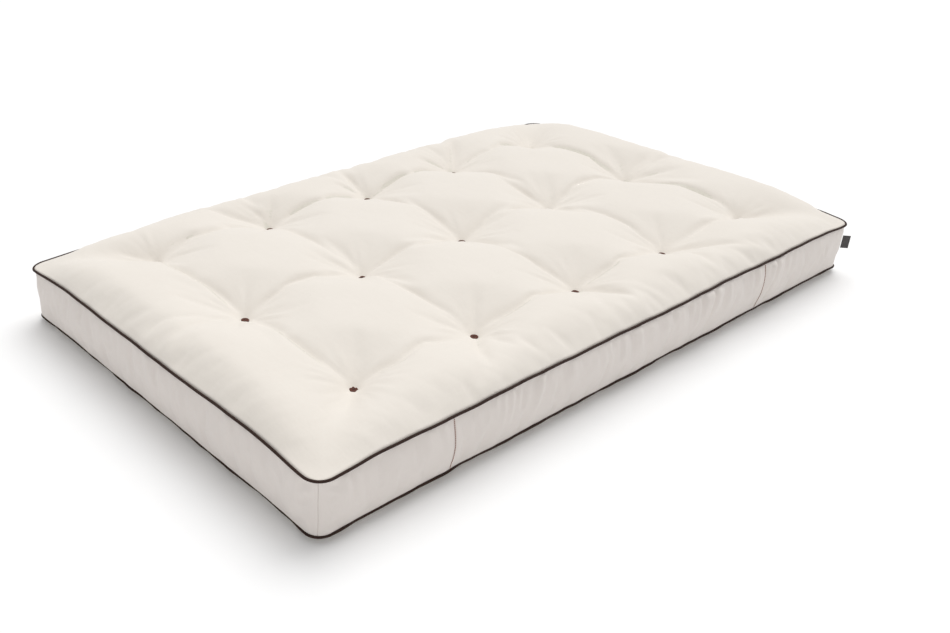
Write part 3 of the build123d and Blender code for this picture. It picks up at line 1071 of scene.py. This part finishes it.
# %% [markdown]
# ## Tuft buttons
# At each tuft a felt disc spreads the pull of the cord, and two strands of thread cross it. The disc is a
# turned outline: a dished face and a soft, rounded edge. One disc is made, and a Geometry Nodes tree sets
# it on all fifteen places with a little turn, tilt and size change from a fixed seed.

# %% One felt disc with its crossed threads
def turned_disc(radius, height, dish):
    """A lathe form from a short outline: flat below, rounded rim, dished top."""
    bend = np.linspace(-np.pi / 2, np.pi / 2, 7)
    half = height * 0.5
    rim = [(radius - half + half * np.cos(a), half + half * np.sin(a)) for a in bend]
    top = [(radius * share, height - dish * (1 - share**2)) for share in (0.7, 0.5, 0.3, 0.12)]
    outline = [(0.0, 0.0), (radius * 0.5, 0.0), *rim, *top, (0.0, height - dish)]
    turns = 28
    points, rows = [], []
    for r, z in outline:
        if r == 0.0:
            rows.append([len(points)] * turns)
            points.append((0.0, 0.0, z))
            continue
        rows.append(list(range(len(points), len(points) + turns)))
        for k in range(turns):
            angle = 2 * np.pi * k / turns
            fray = 1 + 0.018 * math.sin(3 * angle + 1.0) + 0.010 * math.sin(7 * angle)
            points.append((r * fray * math.cos(angle), r * fray * math.sin(angle), z))
    faces = []
    for low, high in zip(rows, rows[1:]):
        for k in range(turns):
            m = (k + 1) % turns
            face = [low[k], low[m], high[m], high[k]]
            faces.append(tuple(dict.fromkeys(face)))
    return points, faces


def tuft_tree():
    """Sets a disc and its thread on every point, each a little different."""
    tree, inside, outside = new_tree("tufts", [
        ("Disc", "NodeSocketObject"), ("Thread", "NodeSocketObject"), ("Seed", "NodeSocketInt"),
        ("Lean", "NodeSocketFloat"), ("Upside down", "NodeSocketFloat"),
    ])
    seed = inside.outputs["Seed"]
    lean = inside.outputs["Lean"]
    less = add(tree, "ShaderNodeMath", {"operation": "MULTIPLY"}, {0: lean, 1: -1.0})["Value"]
    low = add(tree, "ShaderNodeCombineXYZ", None, {"X": less, "Y": less, "Z": -math.pi})["Vector"]
    high = add(tree, "ShaderNodeCombineXYZ", None, {"X": lean, "Y": lean, "Z": math.pi})["Vector"]
    limits = {0: low, 1: high, "Seed": seed}
    turn = add(tree, "FunctionNodeRandomValue", {"data_type": "FLOAT_VECTOR"}, limits)["Value"]
    flip = add(tree, "ShaderNodeCombineXYZ", None, {"X": inside.outputs["Upside down"]})["Vector"]
    both = add(tree, "ShaderNodeVectorMath", {"operation": "ADD"}, {0: turn, 1: flip})["Vector"]
    grow = add(tree, "FunctionNodeRandomValue", {"data_type": "FLOAT"}, {2: 0.95, 3: 1.0, "Seed": seed})[1]
    join = tree.nodes.new("GeometryNodeJoinGeometry")
    for part, material in (("Disc", FELT), ("Thread", BUTTON_THREAD)):
        shape = add(tree, "GeometryNodeObjectInfo", None, {"Object": inside.outputs[part]})["Geometry"]
        placed = add(tree, "GeometryNodeInstanceOnPoints", None, {
            "Points": inside.outputs["Geometry"], "Instance": shape, "Rotation": both, "Scale": grow,
        })["Instances"]
        real = add(tree, "GeometryNodeRealizeInstances", None, {"Geometry": placed})["Geometry"]
        done = add(tree, "GeometryNodeSetMaterial", None, {"Geometry": real, "Material": material})
        tree.links.new(done["Geometry"], join.inputs[0])
    tree.links.new(join.outputs[0], outside.inputs["Geometry"])
    return tree


BUTTON_DISH = 0.0012
THREAD_RADIUS = 0.0006
THREAD_HALF = 0.0038


def thread_cross():
    """Two short strands that dive into the disc at their ends, as one mesh."""
    points, faces = [], []
    for strand in range(2):
        course = np.linspace(-1, 1, 9)
        ring = np.linspace(0, 2 * np.pi, 8, endpoint=False)
        first_point = len(points)
        for share in course:
            rise = BUTTON_HEIGHT - BUTTON_DISH + THREAD_RADIUS * (1.2 + strand) - 0.0022 * share**6
            for angle in ring:
                side = THREAD_RADIUS * math.cos(angle)
                spot = (share * THREAD_HALF, side, rise + THREAD_RADIUS * math.sin(angle))
                points.append(spot if strand == 0 else (-spot[1], spot[0], spot[2]))
        for i in range(len(course) - 1):
            for k in range(8):
                m = (k + 1) % 8
                a, b = first_point + i * 8, first_point + (i + 1) * 8
                faces.append((a + k, b + k, b + m, a + m))
        faces.append(tuple(first_point + k for k in range(8)))
        faces.append(tuple(first_point + (len(course) - 1) * 8 + k for k in reversed(range(8))))
    return points, faces


disc = finished(mesh_object("one disc", *turned_disc(BUTTON_RADIUS, BUTTON_HEIGHT, BUTTON_DISH)))
cross = finished(mesh_object("one thread cross", *thread_cross()))
TUFTS = tuft_tree()


def tuft_set(name, level, upside_down, seed):
    """All fifteen buttons of one side."""
    spots = [(x, y, level) for x in TUFT_X for y in TUFT_Y]
    values = {"Disc": disc, "Thread": cross, "Seed": seed, "Lean": 0.05, "Upside down": upside_down}
    return run_tree(mesh_object(name, spots, []), TUFTS, values)


BUTTON_LIFT = 0.0002
buttons_top = tuft_set("tuft_buttons_upper", SEAT_TOP + BUTTON_LIFT, 0.0, 4)
buttons_bottom = tuft_set("tuft_buttons_lower", SEAT_BOTTOM - BUTTON_LIFT, math.pi, 9)
for spare in (disc, cross):
    bpy.data.objects.remove(spare)
print("button faces", len(buttons_top.data.polygons), "and", len(buttons_bottom.data.polygons))

# %% [markdown]
# ## Filling
# Inside the cover lie two quilted layers of loose cotton, over and under the latex and the coir. Only
# someone who opens the cover sees them, but they have to fit in it, so each is a closed pad whose outer
# face follows the settled panel a few millimetres below the cloth.

# %% Cotton wadding
def wadding_material():
    """Loose carded cotton: soft clumps and fine fibres."""
    s = Shader("cotton_batting")
    spot = s.place("Object", (1, 1, 1))
    clumps = s.noise(spot, 22.0, 5.0, 0.6)
    fibres = s.noise(s.place("Object", (900, 120, 300)), 1.0, 4.0, 0.6)
    s.set(Base_Color=s.blend(clumps * 0.6 + fibres * 0.4, rgb(0.70, 0.65, 0.55), rgb(0.88, 0.85, 0.78)))
    s.set(Roughness=0.9 + 0.08 * fibres, Sheen_Weight=0.3)
    s.set(Normal=s.bump(clumps * 2.0 + fibres, 0.002, 0.8))
    return s.material


PAD_INSET, PAD_GAP, PAD_LEAST = 0.010, 0.0045, 0.004


def wadding(name, sheet, every, flat_level, out, material):
    """A closed pad between a settled panel and the flat core, drawn in a little from the boxing."""
    drawn_in = np.array([1 - PAD_INSET / HALF_LENGTH, 1 - PAD_INSET / HALF_WIDTH, 1.0])
    shape = sheet[::every, ::every] * drawn_in
    n_rows, n_columns = shape.shape[:2]
    face_side = shape.reshape(-1, 3).copy()
    face_side[:, 2] -= out * PAD_GAP
    core_side = face_side.copy()
    core_side[:, 2] = flat_level
    face_side[:, 2] = np.maximum(out * face_side[:, 2], out * flat_level + PAD_LEAST) * out
    count = len(face_side)
    faces = grid_faces(n_rows, n_columns, upward=out > 0)
    faces += [tuple(count + i for i in face[::-1]) for face in faces]
    edge = list(range(n_columns))
    edge += [r * n_columns + n_columns - 1 for r in range(1, n_rows)]
    edge += [(n_rows - 1) * n_columns + c for c in range(n_columns - 2, -1, -1)]
    edge += [r * n_columns for r in range(n_rows - 2, 0, -1)]
    for a, b in zip(edge, edge[1:] + edge[:1]):
        side = (a, b, count + b, count + a)
        faces.append(side if out > 0 else side[::-1])
    return finished(mesh_object(name, np.concatenate([face_side, core_side]), faces), material)


WADDING = wadding_material()
wadding_top = wadding("cotton_wadding_upper", top_sheet, 2, FILLING_TOP, 1, WADDING)
wadding_bottom = wadding("cotton_wadding_lower", bottom_sheet, 2, FILLING_BOTTOM, -1, WADDING)
print("wadding faces", len(wadding_top.data.polygons), "and", len(wadding_bottom.data.polygons))

# %% [markdown]
# ## The label
# A short woven tape is folded in two and its ends are caught in the corner seam of the cover, so that it
# stands out like a small flag. It flips about the seam, so it rides on its own body and its root is at
# the hinge. The tape is one folded path given a thickness, with the top and bottom edges a little wavy.

# %% Fold and place the label
LABEL_TAPE = 0.00045
LABEL_GAP = 0.00042
LABEL_START = -0.0006
LABEL_TRIM = 0.0006
hinge = next(j for j in frame["record"]["behaviour"]["joints"] if j["name"] == "label_flip")
HINGE = np.array(hinge["pos_m"])
LABEL_OUT = np.array([1.0, -1.0, 0.0]) / math.sqrt(2)
LABEL_SIDE = np.array([1.0, 1.0, 0.0]) / math.sqrt(2)
LABEL_REACHES = float(np.hypot(label_high[0] - HINGE[0], label_low[1] - HINGE[1])) - 0.0012


def label_path(count):
    """The middle line of the folded tape as (out, aside), from one end in the seam to the other."""
    leg = LABEL_REACHES - LABEL_GAP
    out = np.linspace(LABEL_START, leg, count)
    aside = LABEL_GAP * (0.7 + 0.3 * np.sin(np.pi * out / leg))
    bend = np.linspace(np.pi / 2, -np.pi / 2, 9)[1:-1]
    fold = np.stack([leg + LABEL_GAP * np.cos(bend), LABEL_GAP * 0.7 * np.sin(bend)], -1)
    there = np.stack([out, aside], -1)
    back = np.stack([out[::-1], -aside[::-1]], -1)
    return np.concatenate([there, fold, back])


def folded_label():
    """The tape's path, thickened and drawn up over its height."""
    path = label_path(12)
    along = np.gradient(path, axis=0)
    along /= np.linalg.norm(along, axis=1, keepdims=True)
    normal = np.stack([-along[:, 1], along[:, 0]], -1)
    profile = np.concatenate([path + normal * LABEL_TAPE / 2, (path - normal * LABEL_TAPE / 2)[::-1]])
    heights = np.linspace(label_low[2] + LABEL_TRIM, label_high[2] - LABEL_TRIM, 17)
    ripple = 0.00012 * np.sin(np.linspace(0, 7, len(heights)))
    rows = []
    for level, shift in zip(heights, ripple):
        sag = -0.0005 * (profile[:, 0] / LABEL_REACHES) ** 2
        spot = HINGE[:2] + profile[:, :1] * LABEL_OUT[:2]
        spot = spot + (profile[:, 1:] + shift * profile[:, :1] / LABEL_REACHES) * LABEL_SIDE[:2]
        rows.append(np.column_stack([spot, level + sag]))
    n = len(profile)
    faces = []
    for i in range(len(heights) - 1):
        for k in range(n):
            m = (k + 1) % n
            faces.append((i * n + k, i * n + m, (i + 1) * n + m, (i + 1) * n + k))
    half = n // 2
    last = (len(heights) - 1) * n
    for k in range(half - 1):
        cap = (k, n - 1 - k, n - 2 - k, k + 1)
        faces.append(cap)
        faces.append(tuple(last + c for c in cap[::-1]))
    return np.concatenate(rows), faces


def label_material():
    """Woven satin tape: fine ribs across it and a soft sheen."""
    s = Shader("label_weave")
    u, v = s.split(s.place("UV", (1, 1, 1)))
    ribs = (v * (2 * math.pi / 0.0006)).sine() * 0.5 + 0.5
    threads = (u * (2 * math.pi / 0.0009)).sine() * 0.5 + 0.5
    soil = s.noise(s.place("Object", (1, 1, 1)), 180.0, 4.0, 0.6)
    shade = ribs * 0.3 + threads * 0.2 + soil * 0.5
    s.set(Base_Color=s.blend(shade, rgb(0.030, 0.026, 0.026), rgb(0.085, 0.078, 0.078)))
    s.set(Roughness=0.5 + 0.2 * soil, Sheen_Weight=0.2)
    s.set(Normal=s.bump(ribs + threads * 0.6, 0.0001, 0.7))
    return s.material


label_points, label_faces = folded_label()
label = mesh_object("label_tape", label_points, label_faces)
label_uv = label.data.uv_layers.new(name="UVMap")
for loop, spot in zip(label.data.loops, label_uv.data):
    at = label_points[loop.vertex_index]
    spot.uv = (float((at[:2] - HINGE[:2]) @ LABEL_OUT[:2]), float(at[2]))
finished(label, label_material())
print("label reaches", round(LABEL_REACHES, 4))

# %% [markdown]
# ## Latex, coir and twine
# These four pieces have the right shape in the CAD model, so they stay and only get their materials.
# Latex is moulded with rows of pin holes, coir is a mat of brown coconut fibre, and the tuft cords are
# waxed twine. Materials are assigned to the slots of the CAD objects, whose meshes stay as they are.

# %% Materials of the core
PIN_PITCH = 0.018


def latex():
    """Cream foam with small pores and rows of pin holes, dented and painted dark as shade in the holes."""
    s = Shader("latex_foam")
    spot = s.place("Object", (1, 1, 1))
    x, y = s.split(spot)
    row = (x * (2 * math.pi / PIN_PITCH)).sine() * (y * (2 * math.pi / PIN_PITCH)).sine()
    pin_hole_and_shade = (row * 6.0 - 4.6).at_least(0.0).at_most(1.0)
    pores = s.noise(spot, 650.0, 4.0, 0.6)
    tone = s.noise(spot, 5.0, 3.0)
    body = s.blend(pores * 0.4 + tone * 0.6, rgb(0.78, 0.72, 0.56), rgb(0.90, 0.86, 0.73))
    # The pin holes get a dark brown: painted shade standing in for the depth of each hole.
    s.set(Base_Color=s.blend(pin_hole_and_shade, body, rgb(0.30, 0.25, 0.16)))
    s.set(Roughness=0.7 + 0.2 * pores)
    s.set(Normal=s.bump(pores * 0.3 - pin_hole_and_shade, 0.0015, 0.8))
    return s.material


def coir():
    """Brown fibres crossing in every direction, bound with latex."""
    s = Shader("coir_fibre")
    one_way = s.noise(s.place("Object", (60, 900, 300)), 1.0, 5.0, 0.65)
    other_way = s.noise(s.place("Object", (900, 60, 300)), 1.0, 5.0, 0.65)
    clumps = s.noise(s.place("Object", (1, 1, 1)), 14.0, 3.0)
    fibre = one_way * 0.45 + other_way * 0.35 + clumps * 0.2
    s.set(Base_Color=s.blend(fibre * 2.2 - 0.6, rgb(0.10, 0.055, 0.025), rgb(0.40, 0.26, 0.13)))
    s.set(Roughness=0.75 + 0.2 * one_way)
    s.set(Normal=s.bump(one_way + other_way, 0.002, 0.9))
    return s.material


def twine():
    """Waxed linen twine: plies that wind up the cord, read from the height."""
    s = Shader("tuft_twine")
    spot = s.place("Object", (1, 1, 1))
    x, y = s.split(spot)
    z = s.node("ShaderNodeSeparateXYZ", None, {0: spot}, "Z")
    plies = ((z * 260.0 + x * 700.0 + y * 700.0) * 2 * math.pi).sine() * 0.5 + 0.5
    fuzz = s.noise(spot, 1500.0, 3.0)
    s.set(Base_Color=s.blend(plies * 0.6 + fuzz * 0.4, rgb(0.30, 0.22, 0.14), rgb(0.62, 0.52, 0.38)))
    s.set(Roughness=0.45 + 0.3 * fuzz)
    s.set(Normal=s.bump(plies, 0.0003, 0.8))
    return s.material


LATEX, COIR, TWINE = latex(), coir(), twine()
for node, material in (
    ("latex_layer_top", LATEX), ("latex_layer_bottom", LATEX), ("coir_core", COIR), ("tuft_cords", TWINE)
):
    for slot in bpy.data.objects[node].material_slots:
        slot.material = material
print("core materials set")

# %% [markdown]
# ## A plain studio
# The floor and the world are white, and one wide, soft light comes from high up beyond the corner that
# carries the label's end and the far side, so the top is brightest and the near sides fall off a little.
# It grazes the long side, which brings out its puckers, and the shadow stays close to the mattress.

# %% Floor, world and light
FLOOR_SIZE = 60.0
WORLD_STRENGTH = 0.60
LIGHT_STRENGTH = 1.72
LIGHT_SPREAD = math.radians(46)
LIGHT_TILT = (math.radians(-13), math.radians(27), 0.0)


def floor_material():
    """White paper: nearly flat colour with the faintest mottling."""
    s = Shader("studio_floor")
    mottle = s.noise(s.place("Object", (1, 1, 1)), 3.0, 3.0)
    s.set(Base_Color=s.blend(mottle, rgb(0.955, 0.955, 0.955), rgb(0.975, 0.975, 0.975)))
    s.set(Roughness=0.85 + 0.1 * mottle, Specular_IOR_Level=0.1)
    return s.material


half_floor = FLOOR_SIZE / 2
floor_corners = [(x * half_floor, y * half_floor, 0) for x, y in ((-1, -1), (1, -1), (1, 1), (-1, 1))]
floor = mesh_object("studio_floor", floor_corners, [(0, 1, 2, 3)])
floor.data.materials.append(floor_material())

world = bpy.data.worlds.new("studio")
world.use_nodes = True
world.node_tree.nodes["Background"].inputs["Color"].default_value = rgb(1.0, 1.0, 1.0)
world.node_tree.nodes["Background"].inputs["Strength"].default_value = WORLD_STRENGTH
scene.world = world

lamp_data = bpy.data.lights.new("overhead", "SUN")
lamp_data.energy = LIGHT_STRENGTH
lamp_data.angle = LIGHT_SPREAD
lamp = bpy.data.objects.new("overhead", lamp_data)
scene.collection.objects.link(lamp)
lamp.rotation_euler = LIGHT_TILT
scene.view_settings.view_transform = "Standard"
print("studio ready")

# %% [markdown]
# ## Tell the frame what each piece is
# Last, every piece is tied to its body, and the CAD node it stands for is hidden.

# %% Bind the pieces to the frame
def bind(piece, body, node):
    """One piece: what carries it, and the CAD node it stands for, which is hidden."""
    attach(piece, body)
    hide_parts(node)


bind(top_panel, "mattress", "top_panel")
bind(bottom_panel, "mattress", "bottom_panel")
bind(wadding_top, "mattress", "cotton_batting_top")
bind(wadding_bottom, "mattress", "cotton_batting_bottom")
bind(buttons_top, "mattress", "tuft_buttons_top")
bind(buttons_bottom, "mattress", "tuft_buttons_bottom")
bind(label, "label", "label_tab")
for level, _ in LEVELS:
    bind(sleeves[level], "mattress", f"{level}_piping_sleeve")
    bind(fillers[level], "mattress", f"{level}_piping_filler")
for name, strip in strips.items():
    bind(strip, "mattress", name)
for name, row in seam_rows.items():
    bind(row, "mattress", name)
